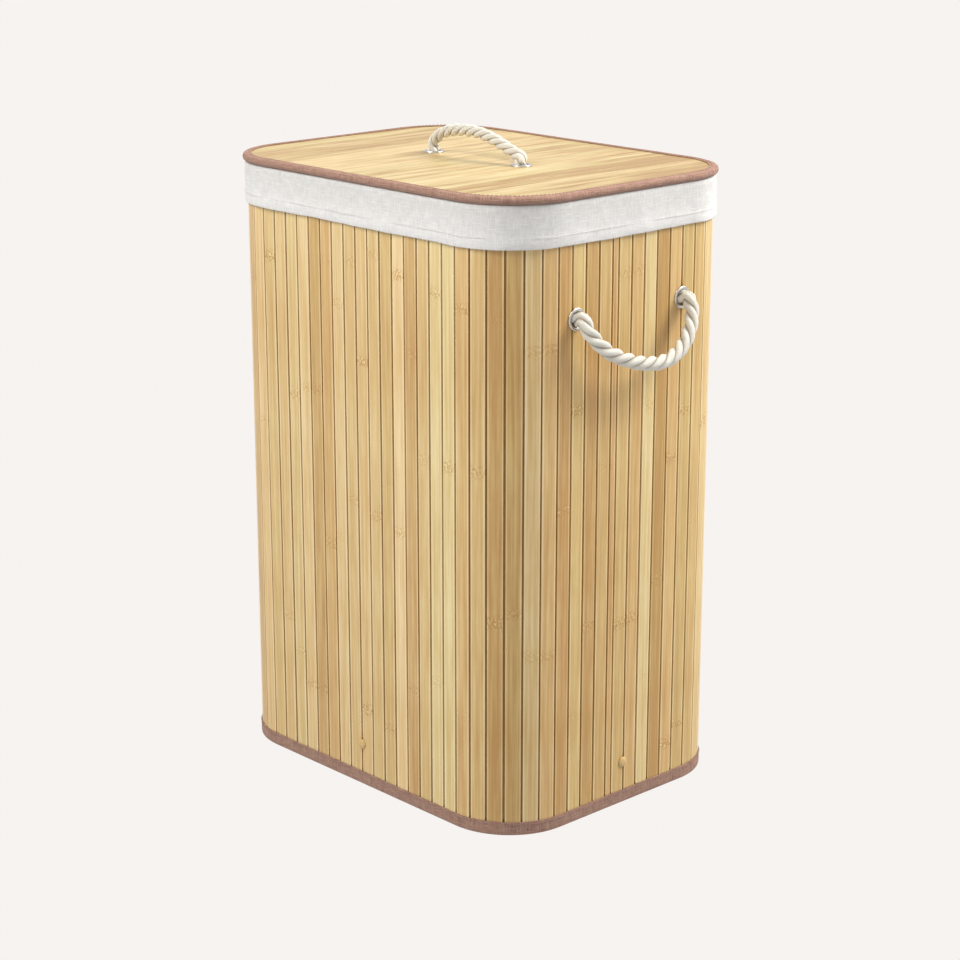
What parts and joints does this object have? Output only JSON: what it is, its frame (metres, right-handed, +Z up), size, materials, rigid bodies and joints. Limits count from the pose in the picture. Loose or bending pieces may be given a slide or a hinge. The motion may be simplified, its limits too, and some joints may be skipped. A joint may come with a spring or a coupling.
{
  "type": "laundry hamper with lid",
  "caption": "Tall rectangular bamboo slat laundry hamper with rounded corners, cloth liner, hinged lid and rope handles.",
  "frame": {"origin": "on the floor, at the centre of the hamper's footprint", "axes": "+Z up, X along the long side, -Y to the front, the lid's hinge at +Y"},
  "size_m": [0.4684, 0.3091, 0.6175],
  "materials": {
    "bamboo": "satin",
    "binding_tape": "matt woven",
    "backing_cloth": "matt",
    "linen": "matt woven",
    "eyelet_metal": "polished",
    "rope": "matt twisted",
    "fibreboard": "matt",
    "block_wood": "matt"
  },
  "bodies": {
    "hamper": {"base_board": "fibreboard", "bottom_hem_binding": "binding_tape", "cuff_fastening_tab_left": "binding_tape", "cuff_fastening_tab_right": "binding_tape", "left_back_eyelet": "eyelet_metal", "left_back_rope_end": "rope", "left_back_washer": "eyelet_metal", "left_front_eyelet": "eyelet_metal", "left_front_rope_end": "rope", "left_front_washer": "eyelet_metal", "liner_bag": "linen", "liner_cuff": "linen", "liner_floor": "linen", "peg_back": "bamboo", "peg_front": "bamboo", "peg_left": "bamboo", "peg_right": "bamboo", "right_back_eyelet": "eyelet_metal", "right_back_rope_end": "rope", "right_back_washer": "eyelet_metal", "right_front_eyelet": "eyelet_metal", "right_front_rope_end": "rope", "right_front_washer": "eyelet_metal", "slat_corner_back_left": "bamboo", "slat_corner_back_right": "bamboo", "slat_corner_front_left": "bamboo", "slat_corner_front_right": "bamboo", "slat_panel_back": "bamboo", "slat_panel_front": "bamboo", "slat_panel_left": "bamboo", "slat_panel_right": "bamboo", "support_block_back": "block_wood", "support_block_front": "block_wood", "support_block_left": "block_wood", "support_block_right": "block_wood", "top_rim_binding": "binding_tape", "wall_backing_cloth": "backing_cloth", "wall_seam_strip": "binding_tape"},
    "lid": {"lid_binding": "binding_tape", "lid_board": "fibreboard", "lid_hinge_tab_left": "binding_tape", "lid_hinge_tab_right": "binding_tape", "lid_left_eyelet": "eyelet_metal", "lid_left_rope_end": "rope", "lid_left_washer": "eyelet_metal", "lid_lining": "linen", "lid_right_eyelet": "eyelet_metal", "lid_right_rope_end": "rope", "lid_right_washer": "eyelet_metal", "lid_slats": "bamboo"},
    "lid_handle": {"lid_rope_handle": "rope"},
    "left_handle": {"left_rope_handle": "rope"},
    "right_handle": {"right_rope_handle": "rope"}
  },
  "joints": [
    {"name": "lid_hinge", "type": "hinge", "parent": "hamper", "child": "lid", "pos_m": [0, 0.1555, 0.5807], "axis": [-1, 0, 0], "range_deg": [0, 190]},
    {"name": "lid_handle_tilt", "type": "hinge", "parent": "lid", "child": "lid_handle", "pos_m": [0, 0, 0.59475], "axis": [1, 0, 0], "range_deg": [-75, 75]},
    {"name": "right_handle_lift", "type": "hinge", "parent": "hamper", "child": "right_handle", "pos_m": [0.20865, 0, 0.476], "axis": [0, -1, 0], "range_deg": [0, 140]},
    {"name": "left_handle_lift", "type": "hinge", "parent": "hamper", "child": "left_handle", "pos_m": [-0.20865, 0, 0.476], "axis": [0, 1, 0], "range_deg": [0, 140]}
  ]
}
